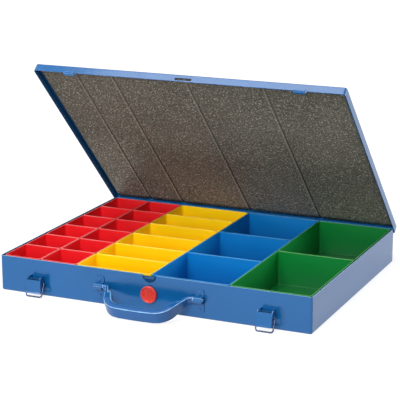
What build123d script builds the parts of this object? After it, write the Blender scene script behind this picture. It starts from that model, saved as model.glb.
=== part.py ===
from build123d import *
from math import asin, atan2, cos, degrees, radians, sin, sqrt
import os

os.makedirs("parts", exist_ok=True)

# Compartment storage case: a sheet steel tray with a hinged steel lid, loose plastic inserts on a
# square grid, two draw latches, a push catch in the middle of the front and a bow handle.
# X runs along the front, Y from front to back, Z up; the origin is the middle of the underside.
# Everything is in millimetres and stands as photographed, with the lid part open.

# Grid of the inserts and the room left round it
PITCH = 54.0
COLUMNS = 8
ROWS = 6
SIDE_ROOM = 2.0
FRONT_ROOM = 3.8
REAR_ROOM = 0.2

# Sheet steel tray, sized by the grid that it holds
SHEET = 1.0
CASE_W = COLUMNS * PITCH + 2 * (SIDE_ROOM + SHEET)
CASE_D = ROWS * PITCH + FRONT_ROOM + REAR_ROOM + 2 * SHEET
CASE_H = 48.0
CASE_CORNER_R = 3.0
CASE_BEND_R = 2.5

# Lid pan, drawn over the tray
LID_GAP = 0.5
LID_RISE = 3.0
LID_LIP = 11.2
LID_CORNER_R = 4.0
LID_BEND_R = 2.0
LID_OPEN = 45.7

# Inserts
INSERT_GAP = 0.4
RIM_DROP = 0.4
INSERT_H = CASE_H - SHEET - RIM_DROP
INSERT_WALL = 1.3
INSERT_DRAFT = 1.0
INSERT_CORNER_R = 3.5
INSERT_FOOT_BEVEL = 1.0
CAVITY_CORNER_R = 2.4

# Foam lining of the lid
FOAM_T = 3.2
FOAM_INSET = 0.8
GROOVE_W = 2.4
GROOVE_D = 1.2
GROOVE_COLUMNS = (1, 2, 4, 6)

# Butt hinges on the back
HINGE_INSET = 89.0
HINGE_X = CASE_W / 2 - HINGE_INSET
HINGE_L = 50.0
HINGE_KNUCKLES = 5
HINGE_SPLIT = 0.3
HINGE_LEAF_T = 0.8
HINGE_LEAF_H = 13.0
HINGE_LID_LEAF_H = 8.2
HINGE_R = 2.2
HINGE_PIN_R = 1.2
HINGE_CLEAR = 0.3
PIN_FIT = 0.05
BASE_RIVET_X = 17.0
LID_RIVET_X = 9.0

# Draw latches
LATCH_INSET = 56.5
LATCH_X = CASE_W / 2 - LATCH_INSET
LATCH_SHEET = 1.0
LATCH_PIVOT_OUT = 9.0
LATCH_PIVOT_Z = 25.0
LATCH_PIN_R = 1.2
LATCH_EAR_R = 2.4
LATCH_BRACKET_W = 18.0
LATCH_BRACKET_LOW = 8.0
LEVER_W = 20.6
LEVER_SIDE_GAP = 0.3
LEVER_SHEET = 0.9
LEVER_FACE_OUT = 3.0
LEVER_START = 1.0
LEVER_LENGTH = 19.3
LEVER_CURL = 0.8
LEVER_CURL_L = 3.2
LEVER_KNOT_R = 2.6
LEVER_CORNER_R = 1.5
BAIL_DROP = 6.3
BAIL_INSET = 3.5
BAIL_WIRE_R = 1.0
BAIL_LENGTH = 18.6
BAIL_END_IN = 1.1
BAIL_SIDE_GAP = 0.3
BAIL_CORNER_R = 3.2
BAIL_END_R = 1.2
BAIL_SWING = 25.0
RIGHT_LEVER_OPEN = 16.0
RIVET_R = 1.2
RIVET_HEAD_R = 2.3
RIVET_HEAD_H = 1.0
RIVET_TAIL_R = 2.0
RIVET_TAIL_H = 0.7
RIVET_ZS = (11.2, 16.8)

# Hooks of the lid lip
HOOK_W = 15.5
HOOK_GAP = 0.3
HOOK_R = 2.4
HOOK_TIP = 2.0

# Push catch
NOTCH_R = 10.0
BUTTON_Z = 23.0
BUTTON_R = 11.1
BUTTON_T = 2.8
BUTTON_GAP = 1.8
BUTTON_RIM = 2.2
BUTTON_BEVEL = 0.8
BUTTON_DISH = 1.0
BUTTON_STEM_R = 4.5
BUTTON_HOLE_CLEAR = 1.0
BUTTON_TENON_R = 2.0
BUTTON_STAKE_R = 3.2
BUTTON_STAKE_H = 0.7
LEAF_T = 0.8
LEAF_W = 22.0
LEAF_FOOT_W = 30.0
LEAF_FOOT_H = 7.0
LEAF_LOW = 4.0
LEAF_TOP_GAP = 1.6
NOSE_W = 14.0
NOSE_OUT = 1.5
NOSE_T = 0.6
NOSE_RAMP = 2.8
SLOT_W = 24.0
SLOT_H = 3.8
SLOT_STRIP = 1.6
SLOT_PLAY = 0.4

# Bow handle and its saddle clips
HANDLE_PIVOT_OUT = 5.0
HANDLE_PIVOT_Z = 25.5
HANDLE_STUB_R = 3.0
HANDLE_STUB_END = 77.0
HANDLE_END_X = 63.5
HANDLE_ROOT_X = 57.0
HANDLE_ROOT_R = 7.5
HANDLE_CORNER_X = 41.0
HANDLE_CORNER_REACH = 40.6
HANDLE_REACH = 42.6
HANDLE_CORNER_R = 24.0
HANDLE_STRAP_T = 4.2
HANDLE_STRAP_W = 17.0
HANDLE_ROOT_W = 9.0
HANDLE_WIDE_AT = 27.0
HANDLE_LIFT = 0.2
CLIP_START = 64.5
CLIP_W = 11.5
CLIP_SHEET = 1.2
CLIP_CLEAR = 0.2
CLIP_TOP = 38.0
CLIP_LOW = 8.0
CLIP_RIVET_INSET = 4.4

# Places that follow from the sizes above
FRONT_Y = -CASE_D / 2
BACK_Y = CASE_D / 2
FLOOR_Z = SHEET
LID_W = CASE_W + 2 * (LID_GAP + SHEET)
LID_D = CASE_D + 2 * (LID_GAP + SHEET)
LID_TOP_Z = CASE_H + LID_RISE + SHEET
LIP_EDGE_Z = LID_TOP_Z - LID_LIP
LIP_FRONT_Y = -LID_D / 2
LIP_BACK_Y = LID_D / 2
GRID_X = -COLUMNS * PITCH / 2
GRID_Y = FRONT_Y + SHEET + FRONT_ROOM
HINGE_Y = BACK_Y + HINGE_CLEAR + HINGE_R
HINGE_Z = LIP_EDGE_Z - HINGE_CLEAR - HINGE_R
LID_AXIS = Axis((0, HINGE_Y, HINGE_Z), (1, 0, 0))
HINGE_CENTRES = (-HINGE_X, HINGE_X)
BASE_RIVET_Z = HINGE_Z - HINGE_R - HINGE_CLEAR - HINGE_LEAF_H / 2
LID_RIVET_Z = HINGE_Z + HINGE_R + HINGE_CLEAR + HINGE_LID_LEAF_H / 2
CLIP_MID_X = CLIP_START + CLIP_W / 2
CLIP_CENTRES = (-CLIP_MID_X, CLIP_MID_X)
CLIP_RIVET_ZS = (CLIP_LOW + CLIP_RIVET_INSET, CLIP_TOP - CLIP_RIVET_INSET)


def raised(shape):
    """Turn a piece drawn with the lid shut to the photographed opening."""
    return shape.rotate(LID_AXIS, -LID_OPEN)


def cut_cylinder(x, y, z, radius, length):
    """Take a round hole along Y out of the piece being built."""
    with Locations(Location((x, y, z), (90, 0, 0))):
        Cylinder(radius, length, mode=Mode.SUBTRACT)


def rounded_block(width, depth, low, height, corner_r, bend_r, bend_at):
    """A block with round upright corners, and round edges on its lower (0) or upper (-1) face."""
    with BuildPart() as block:
        with BuildSketch(Plane.XY.offset(low)):
            RectangleRounded(width, depth, corner_r)
        extrude(amount=height)
        fillet(block.faces().sort_by(Axis.Z)[bend_at].edges(), bend_r)
    return block.part


# Tray: a pressed shell with rounded bends and corners, notched and pierced in its front wall
LATCH_CENTRES = (-LATCH_X, LATCH_X)
WALL_MID_Y = FRONT_Y + SHEET / 2
with BuildPart() as base_tray:
    inner_w = CASE_W - 2 * SHEET
    inner_d = CASE_D - 2 * SHEET
    inner_corner_r = CASE_CORNER_R - SHEET
    add(rounded_block(CASE_W, CASE_D, 0, CASE_H, CASE_CORNER_R, CASE_BEND_R, 0))
    add(
        rounded_block(inner_w, inner_d, SHEET, CASE_H, inner_corner_r, CASE_BEND_R - SHEET, 0),
        mode=Mode.SUBTRACT,
    )
    cut_cylinder(0, WALL_MID_Y, CASE_H, NOTCH_R, 3 * SHEET)
    cut_cylinder(0, WALL_MID_Y, BUTTON_Z, BUTTON_STEM_R + BUTTON_HOLE_CLEAR, 3 * SHEET)
    for latch_x in LATCH_CENTRES:
        for rivet_z in RIVET_ZS:
            cut_cylinder(latch_x, WALL_MID_Y, rivet_z, RIVET_R, 3 * SHEET)
    for clip_x in CLIP_CENTRES:
        for rivet_z in CLIP_RIVET_ZS:
            cut_cylinder(clip_x, WALL_MID_Y, rivet_z, RIVET_R, 3 * SHEET)
    for hinge_x in HINGE_CENTRES:
        for rivet_x in (hinge_x - BASE_RIVET_X, hinge_x + BASE_RIVET_X):
            cut_cylinder(rivet_x, -WALL_MID_Y, BASE_RIVET_Z, RIVET_R, 3 * SHEET)
base_tray.part.label = "base_tray"
export_step(base_tray.part, "parts/base_tray.step")

# Lid pan: shallow shell with a catch slot and two J hooks turned out of its front lip
HOOK_Y = LIP_FRONT_Y - HOOK_R
BAIL_Y = FRONT_Y - LATCH_PIVOT_OUT + BAIL_INSET
BAIL_Z = LATCH_PIVOT_Z - BAIL_DROP
BAIL_RISE = sqrt(BAIL_LENGTH**2 - (BAIL_Y - HOOK_Y) ** 2)
HOOK_Z = BAIL_Z + BAIL_RISE - BAIL_WIRE_R - HOOK_GAP + HOOK_R
HOOK_OUTER_R = HOOK_R + SHEET
SLOT_Z = LIP_EDGE_Z + SLOT_STRIP + SLOT_H / 2
with BuildPart() as lid_pan:
    inner_w = LID_W - 2 * SHEET
    inner_d = LID_D - 2 * SHEET
    inner_corner_r = LID_CORNER_R - SHEET
    inner_low = LIP_EDGE_Z - SHEET
    add(rounded_block(LID_W, LID_D, LIP_EDGE_Z, LID_LIP, LID_CORNER_R, LID_BEND_R, -1))
    add(
        rounded_block(inner_w, inner_d, inner_low, LID_LIP, inner_corner_r, LID_BEND_R - SHEET, -1),
        mode=Mode.SUBTRACT,
    )
    with BuildSketch(Plane.XZ.offset(-LIP_FRONT_Y + SHEET)):
        with Locations((0, SLOT_Z)):
            SlotOverall(SLOT_W, SLOT_H)
    extrude(amount=-3 * SHEET, mode=Mode.SUBTRACT)
    for latch_x in LATCH_CENTRES:
        with BuildSketch(Plane.YZ.offset(latch_x - HOOK_W / 2)):
            with Locations((HOOK_Y, HOOK_Z)):
                Circle(HOOK_OUTER_R)
                Circle(HOOK_R, mode=Mode.SUBTRACT)
                Rectangle(
                    3 * HOOK_OUTER_R, 2 * HOOK_OUTER_R, align=(Align.CENTER, Align.MIN), mode=Mode.SUBTRACT
                )
            with Locations((LIP_FRONT_Y, HOOK_Z)):
                Rectangle(SHEET, LIP_EDGE_Z + SHEET - HOOK_Z, align=(Align.MIN, Align.MIN))
            with Locations((HOOK_Y - HOOK_R, HOOK_Z)):
                Rectangle(SHEET, HOOK_TIP, align=(Align.MAX, Align.MIN))
        extrude(amount=HOOK_W)
    for hinge_x in HINGE_CENTRES:
        for rivet_x in (hinge_x - LID_RIVET_X, hinge_x + LID_RIVET_X):
            cut_cylinder(rivet_x, LIP_BACK_Y - SHEET / 2, LID_RIVET_Z, RIVET_R, 3 * SHEET)
lid_pan_open = raised(lid_pan.part)
lid_pan_open.label = "lid_pan"
export_step(lid_pan_open, "parts/lid_pan.step")

# Foam lining, pressed into grooves where the long walls between the inserts meet it
FOAM_TOP_Z = LID_TOP_Z - SHEET
FOAM_LOW_Z = FOAM_TOP_Z - FOAM_T
FOAM_BACK_Y = BACK_Y - SHEET - FOAM_INSET
FOAM_D = FOAM_BACK_Y - GRID_Y
with BuildPart() as foam_lining:
    with BuildSketch(Plane.XY.offset(FOAM_LOW_Z)):
        with Locations((GRID_X, GRID_Y)):
            Rectangle(COLUMNS * PITCH, FOAM_D, align=(Align.MIN, Align.MIN))
    extrude(amount=FOAM_T)
    with BuildSketch(Plane.XZ.offset(-GRID_Y + SHEET)):
        for column in GROOVE_COLUMNS:
            with BuildLine():
                Polyline(
                    (GRID_X + column * PITCH - GROOVE_W / 2, FOAM_LOW_Z),
                    (GRID_X + column * PITCH, FOAM_LOW_Z + GROOVE_D),
                    (GRID_X + column * PITCH + GROOVE_W / 2, FOAM_LOW_Z),
                    close=True,
                )
            make_face()
    extrude(amount=-FOAM_D - 2 * SHEET, mode=Mode.SUBTRACT)
foam_open = raised(foam_lining.part)
foam_open.label = "foam_lining"
export_step(foam_open, "parts/foam_lining.step")

# Butt hinges: both leaves lie outside the sheet, with knuckles rolled round a loose pin
KNUCKLE_L = (HINGE_L - (HINGE_KNUCKLES - 1) * HINGE_SPLIT) / HINGE_KNUCKLES
KNUCKLE_STEP = KNUCKLE_L + HINGE_SPLIT


def knuckles(first, centre_x, web_y, web_to_z):
    """Add every second knuckle, with the web that joins it to its leaf, and bore them."""
    low, high = min(HINGE_Z, web_to_z), max(HINGE_Z, web_to_z)
    for place in range(first, HINGE_KNUCKLES, 2):
        start = centre_x - HINGE_L / 2 + place * KNUCKLE_STEP
        with Locations((start, web_y, low)):
            Box(KNUCKLE_L, HINGE_LEAF_T, high - low, align=(Align.MIN, Align.MIN, Align.MIN))
        with Locations(Location((start + KNUCKLE_L / 2, HINGE_Y, HINGE_Z), (0, 90, 0))):
            Cylinder(HINGE_R, KNUCKLE_L)
    with Locations(Location((centre_x, HINGE_Y, HINGE_Z), (0, 90, 0))):
        Cylinder(HINGE_PIN_R + PIN_FIT, 2 * HINGE_L, mode=Mode.SUBTRACT)


for side, sign in (("left", -1), ("right", 1)):
    hinge_x = sign * HINGE_X
    leaf_top = HINGE_Z - HINGE_R - HINGE_CLEAR
    with BuildPart() as base_leaf:
        with BuildSketch(Plane.XZ.offset(-BACK_Y)):
            with Locations((hinge_x, leaf_top)):
                Rectangle(HINGE_L, HINGE_LEAF_H, align=(Align.CENTER, Align.MAX))
        extrude(amount=-HINGE_LEAF_T)
        fillet(base_leaf.edges().filter_by(Axis.Y).group_by(Axis.Z)[0], 3)
        knuckles(0, hinge_x, BACK_Y, leaf_top)
        for rivet_x in (hinge_x - BASE_RIVET_X, hinge_x + BASE_RIVET_X):
            cut_cylinder(rivet_x, BACK_Y, BASE_RIVET_Z, RIVET_R, 4 * SHEET)
    base_leaf.part.label = f"hinge_base_leaf_{side}"
    export_step(base_leaf.part, f"parts/hinge_base_leaf_{side}.step")

    leaf_low = HINGE_Z + HINGE_R + HINGE_CLEAR
    with BuildPart() as lid_leaf:
        with BuildSketch(Plane.XZ.offset(-LIP_BACK_Y)):
            with Locations((hinge_x, leaf_low)):
                Rectangle(HINGE_L, HINGE_LID_LEAF_H, align=(Align.CENTER, Align.MIN))
        extrude(amount=-HINGE_LEAF_T)
        fillet(lid_leaf.edges().filter_by(Axis.Y).group_by(Axis.Z)[-1], 3)
        knuckles(1, hinge_x, LIP_BACK_Y, leaf_low)
        for rivet_x in (hinge_x - LID_RIVET_X, hinge_x + LID_RIVET_X):
            cut_cylinder(rivet_x, LIP_BACK_Y, LID_RIVET_Z, RIVET_R, 4 * SHEET)
    lid_leaf_open = raised(lid_leaf.part)
    lid_leaf_open.label = f"hinge_lid_leaf_{side}"
    export_step(lid_leaf_open, f"parts/hinge_lid_leaf_{side}.step")

    with BuildPart() as hinge_pin:
        with Locations(Location((hinge_x, HINGE_Y, HINGE_Z), (0, 90, 0))):
            Cylinder(HINGE_PIN_R, HINGE_L)
        chamfer(hinge_pin.edges(), 0.3)
    hinge_pin.part.label = f"hinge_pin_{side}"
    export_step(hinge_pin.part, f"parts/hinge_pin_{side}.step")


# Inserts: drafted plastic bins with rounded corners, a bevelled foot and a plain rim
def insert_bin(columns, rows, column, row):
    """One bin that fills columns by rows of the grid, standing at the given grid place."""
    rim_w = columns * PITCH - INSERT_GAP
    rim_d = rows * PITCH - INSERT_GAP
    slope = sin(radians(INSERT_DRAFT)) / cos(radians(INSERT_DRAFT))
    shrink = 2 * INSERT_H * slope
    cavity_shrink = shrink - 2 * INSERT_WALL * slope + 2 * INSERT_WALL
    centre_x = GRID_X + (column + columns / 2) * PITCH
    centre_y = GRID_Y + (row + rows / 2) * PITCH
    foot_r = INSERT_CORNER_R - shrink / 2
    with BuildPart() as bin_part:
        with BuildSketch(Plane.XY.offset(FLOOR_Z)):
            with Locations((centre_x, centre_y)):
                RectangleRounded(rim_w - shrink, rim_d - shrink, foot_r)
        extrude(amount=INSERT_H, taper=-INSERT_DRAFT)
        chamfer(bin_part.faces().sort_by(Axis.Z)[0].edges(), INSERT_FOOT_BEVEL)
        with BuildSketch(Plane.XY.offset(FLOOR_Z + INSERT_WALL)):
            with Locations((centre_x, centre_y)):
                RectangleRounded(rim_w - cavity_shrink, rim_d - cavity_shrink, CAVITY_CORNER_R)
        extrude(amount=INSERT_H, taper=-INSERT_DRAFT, mode=Mode.SUBTRACT)
    return bin_part.part


INSERTS = []
for row in range(6):
    for column in range(2):
        INSERTS.append((f"insert_red_{row + 1}_{column + 1}", 1, 1, column, row))
for row in range(6):
    INSERTS.append((f"insert_yellow_{row + 1}", 2, 1, 2, row))
for place in range(3):
    INSERTS.append((f"insert_blue_{place + 1}", 2, 2, 4, 2 * place))
for place in range(2):
    INSERTS.append((f"insert_green_{place + 1}", 2, 3, 6, 3 * place))
for name, columns, rows, column, row in INSERTS:
    bin_solid = insert_bin(columns, rows, column, row)
    bin_solid.label = name
    export_step(bin_solid, f"parts/{name}.step")

# Draw latches: riveted bracket, folded lever and wire bail, drawn shut and hanging, then set as seen
PIVOT_Y = FRONT_Y - LATCH_PIVOT_OUT
LEVER_SIDE_X = LEVER_W / 2
EAR_X = LEVER_SIDE_X - LATCH_SHEET - LEVER_SIDE_GAP
BAIL_SIDE_X = LEVER_SIDE_X + BAIL_SIDE_GAP + BAIL_WIRE_R
FACE_Y = PIVOT_Y - LEVER_FACE_OUT
for side, latch_x, lever_open in (("left", -LATCH_X, 0.0), ("right", LATCH_X, RIGHT_LEVER_OPEN)):
    pivot = Axis((latch_x, PIVOT_Y, LATCH_PIVOT_Z), (1, 0, 0))

    with BuildPart() as bracket:
        with BuildSketch(Plane.XZ.offset(-FRONT_Y)):
            with Locations((latch_x, LATCH_BRACKET_LOW)):
                Rectangle(
                    2 * EAR_X, LATCH_PIVOT_Z + LATCH_EAR_R - LATCH_BRACKET_LOW, align=(Align.CENTER, Align.MIN)
                )
        extrude(amount=LATCH_SHEET)
        fillet(bracket.edges().filter_by(Axis.Y).group_by(Axis.Z)[0], 3)
        for ear_x in (latch_x - EAR_X, latch_x + EAR_X - LATCH_SHEET):
            with BuildSketch(Plane.YZ.offset(ear_x)):
                with Locations((PIVOT_Y, LATCH_PIVOT_Z)):
                    Circle(LATCH_EAR_R)
                with Locations((FRONT_Y, LATCH_PIVOT_Z + LATCH_EAR_R)):
                    Rectangle(LATCH_SHEET, 3 * LATCH_EAR_R, align=(Align.MAX, Align.MAX))
                make_hull()
            extrude(amount=LATCH_SHEET)
        with Locations(Location((latch_x, PIVOT_Y, LATCH_PIVOT_Z), (0, 90, 0))):
            Cylinder(LATCH_PIN_R + PIN_FIT, 2 * LEVER_W, mode=Mode.SUBTRACT)
        for rivet_z in RIVET_ZS:
            cut_cylinder(latch_x, FRONT_Y, rivet_z, RIVET_R, 4 * LATCH_SHEET)
    bracket.part.label = f"latch_bracket_{side}"
    export_step(bracket.part, f"parts/latch_bracket_{side}.step")

    with BuildPart() as latch_pin:
        with Locations(Location((latch_x, PIVOT_Y, LATCH_PIVOT_Z), (0, 90, 0))):
            Cylinder(LATCH_PIN_R, LEVER_W)
    latch_pin.part.label = f"latch_pin_{side}"
    export_step(latch_pin.part, f"parts/latch_pin_{side}.step")

    # The lever is a folded channel: face plate with a finger curl, and two cheeks on the pivot
    plate_top = LATCH_PIVOT_Z - LEVER_START
    plate_low = LATCH_PIVOT_Z - LEVER_LENGTH
    curl_z = plate_low + LEVER_CURL_L
    with BuildPart() as lever:
        with BuildSketch(Plane.YZ.offset(latch_x - LEVER_SIDE_X)):
            with BuildLine():
                Polyline(
                    (FACE_Y, plate_top),
                    (FACE_Y, curl_z),
                    (FACE_Y - LEVER_CURL, plate_low),
                    (FACE_Y - LEVER_CURL - LEVER_SHEET, plate_low),
                    (FACE_Y - LEVER_SHEET, curl_z),
                    (FACE_Y - LEVER_SHEET, plate_top),
                    close=True,
                )
            make_face()
        extrude(amount=LEVER_W)
        fillet(lever.edges().filter_by(Axis.Y).group_by(Axis.Z)[0], LEVER_CORNER_R)
        for cheek_x in (latch_x - LEVER_SIDE_X, latch_x + LEVER_SIDE_X - LATCH_SHEET):
            with BuildSketch(Plane.YZ.offset(cheek_x)):
                with Locations((PIVOT_Y, LATCH_PIVOT_Z)):
                    Circle(LEVER_KNOT_R)
                with Locations((BAIL_Y, BAIL_Z)):
                    Circle(BAIL_WIRE_R + 1.0)
                with Locations((FACE_Y, plate_top)):
                    Rectangle(LEVER_SHEET, plate_top - curl_z - 2.0, align=(Align.MAX, Align.MAX))
                make_hull()
            extrude(amount=LATCH_SHEET)
        with Locations(Location((latch_x, PIVOT_Y, LATCH_PIVOT_Z), (0, 90, 0))):
            Cylinder(LATCH_PIN_R + PIN_FIT, 2 * LEVER_W, mode=Mode.SUBTRACT)
        with Locations(Location((latch_x, BAIL_Y, BAIL_Z), (0, 90, 0))):
            Cylinder(BAIL_WIRE_R + PIN_FIT, 2 * LEVER_W, mode=Mode.SUBTRACT)
    lever_set = lever.part.rotate(pivot, -lever_open)
    lever_set.label = f"latch_lever_{side}"
    export_step(lever_set, f"parts/latch_lever_{side}.step")

    # The bail is one bent wire, with both ends turned in through the cheeks
    end_x = EAR_X - BAIL_END_IN
    with BuildPart() as bail:
        with BuildLine(Plane(origin=(latch_x, BAIL_Y, BAIL_Z), x_dir=(1, 0, 0), z_dir=(0, -1, 0))):
            Polyline(
                (-end_x, 0),
                (-BAIL_SIDE_X + BAIL_END_R, 0),
            )
            RadiusArc((-BAIL_SIDE_X + BAIL_END_R, 0), (-BAIL_SIDE_X, -BAIL_END_R), -BAIL_END_R)
            Line((-BAIL_SIDE_X, -BAIL_END_R), (-BAIL_SIDE_X, -BAIL_LENGTH + BAIL_CORNER_R))
            RadiusArc(
                (-BAIL_SIDE_X, -BAIL_LENGTH + BAIL_CORNER_R),
                (-BAIL_SIDE_X + BAIL_CORNER_R, -BAIL_LENGTH),
                -BAIL_CORNER_R,
            )
            Line((-BAIL_SIDE_X + BAIL_CORNER_R, -BAIL_LENGTH), (BAIL_SIDE_X - BAIL_CORNER_R, -BAIL_LENGTH))
            RadiusArc(
                (BAIL_SIDE_X - BAIL_CORNER_R, -BAIL_LENGTH),
                (BAIL_SIDE_X, -BAIL_LENGTH + BAIL_CORNER_R),
                -BAIL_CORNER_R,
            )
            Line((BAIL_SIDE_X, -BAIL_LENGTH + BAIL_CORNER_R), (BAIL_SIDE_X, -BAIL_END_R))
            RadiusArc((BAIL_SIDE_X, -BAIL_END_R), (BAIL_SIDE_X - BAIL_END_R, 0), -BAIL_END_R)
            Line((BAIL_SIDE_X - BAIL_END_R, 0), (end_x, 0))
        with BuildSketch(Plane(origin=(latch_x - end_x, BAIL_Y, BAIL_Z), z_dir=(-1, 0, 0))):
            Circle(BAIL_WIRE_R)
        sweep()
    bail_pivot = Axis((latch_x, BAIL_Y, BAIL_Z), (1, 0, 0))
    bail_set = bail.part.rotate(bail_pivot, lever_open - BAIL_SWING).rotate(pivot, -lever_open)
    bail_set.label = f"latch_bail_{side}"
    export_step(bail_set, f"parts/latch_bail_{side}.step")

# Rivets: bevelled head outside, shank through both sheets, upset tail or a flush end inside
def rivets(places, grip, tail):
    """Rivets along Y, one at each place given as x, y, z and the side its head faces."""
    with BuildPart() as group:
        for x, y, z, facing in places:
            out = Location((x, y, z), (90 * facing, 0, 0))
            with Locations(out):
                Cylinder(RIVET_HEAD_R, RIVET_HEAD_H, align=(Align.CENTER, Align.CENTER, Align.MIN))
                Cylinder(RIVET_R, grip, align=(Align.CENTER, Align.CENTER, Align.MAX))
            if tail:
                with Locations(out * Location((0, 0, -grip))):
                    Cylinder(RIVET_TAIL_R, tail, align=(Align.CENTER, Align.CENTER, Align.MAX))
        facing = places[0][3]
        heads = group.edges().filter_by(GeomType.CIRCLE).group_by(Axis.Y)[0 if facing > 0 else -1]
        chamfer(heads, RIVET_HEAD_H - 0.4)
    return group.part


# Catch leaf: a spring steel tongue behind the front wall, its nose ramped for the closing lip
LEAF_FRONT_Y = FRONT_Y + SHEET
LEAF_TOP_Z = CASE_H - LEAF_TOP_GAP
NOSE_LOW_Z = LIP_EDGE_Z + SLOT_STRIP + SLOT_PLAY
with BuildPart() as catch_leaf:
    with BuildSketch(Plane.XZ.offset(-LEAF_FRONT_Y)):
        with Locations((0, LEAF_LOW)):
            Rectangle(LEAF_W, LEAF_TOP_Z - LEAF_LOW, align=(Align.CENTER, Align.MIN))
            Rectangle(LEAF_FOOT_W, LEAF_FOOT_H, align=(Align.CENTER, Align.MIN))
        with Locations((0, BUTTON_Z)):
            Circle(BUTTON_TENON_R + PIN_FIT, mode=Mode.SUBTRACT)
    extrude(amount=-LEAF_T)
    fillet(catch_leaf.edges().filter_by(Axis.Y).group_by(Axis.Z)[-1], 3)
    with BuildSketch(Plane.YZ.offset(-NOSE_W / 2)):
        with BuildLine():
            Polyline(
                (LEAF_FRONT_Y, NOSE_LOW_Z),
                (FRONT_Y - NOSE_OUT, NOSE_LOW_Z),
                (FRONT_Y - NOSE_OUT, NOSE_LOW_Z + NOSE_T),
                (LEAF_FRONT_Y, NOSE_LOW_Z + NOSE_RAMP),
                close=True,
            )
        make_face()
    extrude(amount=NOSE_W)
catch_leaf.part.label = "catch_leaf"
export_step(catch_leaf.part, "parts/catch_leaf.step")

# Push button: dished face with a raised rim, a stem through the wall and a tenon staked on the leaf
with BuildPart() as push_button:
    with BuildSketch(Plane(origin=(0, FRONT_Y, BUTTON_Z), x_dir=(1, 0, 0), z_dir=(0, 0, 1))):
        with BuildLine():
            face_y = -BUTTON_GAP - BUTTON_T
            leaf_back = SHEET + LEAF_T
            Polyline(
                (0, face_y + BUTTON_DISH),
                (0, leaf_back + BUTTON_STAKE_H),
                (BUTTON_STAKE_R, leaf_back + BUTTON_STAKE_H),
                (BUTTON_STAKE_R, leaf_back),
                (BUTTON_TENON_R, leaf_back),
                (BUTTON_TENON_R, SHEET),
                (BUTTON_STEM_R, SHEET),
                (BUTTON_STEM_R, -BUTTON_GAP),
                (BUTTON_R, -BUTTON_GAP),
                (BUTTON_R, face_y + BUTTON_BEVEL),
                (BUTTON_R - BUTTON_BEVEL, face_y),
                (BUTTON_R - BUTTON_RIM + BUTTON_BEVEL, face_y),
                (BUTTON_R - BUTTON_RIM, face_y + BUTTON_DISH),
                close=True,
            )
        make_face()
    revolve(axis=Axis((0, FRONT_Y, BUTTON_Z), (0, 1, 0)))
push_button.part.label = "push_button"
export_step(push_button.part, "parts/push_button.step")

# Bow handle: a strap bent in plan, given its taper by a second outline seen from the side
HALF_W = HANDLE_STRAP_W / 2
OUTER_REACH = HANDLE_REACH + HANDLE_STRAP_T / 2
LOW_REACH = sqrt(OUTER_REACH**2 + HALF_W**2)
LOW_ANGLE = atan2(HALF_W, OUTER_REACH)
HANDLE_DIP = degrees(asin((HANDLE_PIVOT_Z - HANDLE_LIFT) / LOW_REACH) - LOW_ANGLE)
HANDLE_Y = FRONT_Y - HANDLE_PIVOT_OUT
HALF_T = HANDLE_STRAP_T / 2
with BuildPart() as handle:
    with BuildSketch(Plane.XY.offset(-HALF_W)):
        with BuildLine() as bow:
            Polyline(
                (-HANDLE_END_X, 0),
                (-HANDLE_ROOT_X, 0),
                (-HANDLE_CORNER_X, -HANDLE_CORNER_REACH),
            )
            ThreePointArc(
                (-HANDLE_CORNER_X, -HANDLE_CORNER_REACH),
                (0, -HANDLE_REACH),
                (HANDLE_CORNER_X, -HANDLE_CORNER_REACH),
            )
            Polyline(
                (HANDLE_CORNER_X, -HANDLE_CORNER_REACH),
                (HANDLE_ROOT_X, 0),
                (HANDLE_END_X, 0),
            )
            ends = bow.vertices().group_by(Axis.Y)
            fillet(ends[-1].sort_by(Axis.X)[1:-1], HANDLE_ROOT_R)
            fillet(bow.vertices().group_by(Axis.Y)[0], HANDLE_CORNER_R)
        trace(lines=bow.line, line_width=HANDLE_STRAP_T)
    extrude(amount=HANDLE_STRAP_W)
    with BuildSketch(Plane.YZ.offset(-HANDLE_END_X)):
        Circle(HANDLE_ROOT_W / 2)
        with Locations((-HANDLE_WIDE_AT, 0)):
            Rectangle(HANDLE_REACH, HANDLE_STRAP_W, align=(Align.MAX, Align.CENTER))
        make_hull()
    extrude(amount=2 * HANDLE_END_X, mode=Mode.INTERSECT)
    for sign in (-1, 1):
        stub_l = HANDLE_STUB_END - HANDLE_END_X + HANDLE_STRAP_T
        with Locations(Location((sign * (HANDLE_STUB_END - stub_l / 2), 0, 0), (0, 90, 0))):
            Cylinder(HANDLE_STUB_R, stub_l)
handle_set = Location((0, HANDLE_Y, HANDLE_PIVOT_Z), (HANDLE_DIP, 0, 0)) * handle.part
handle_set.label = "handle"
export_step(handle_set, "parts/handle.step")

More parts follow.
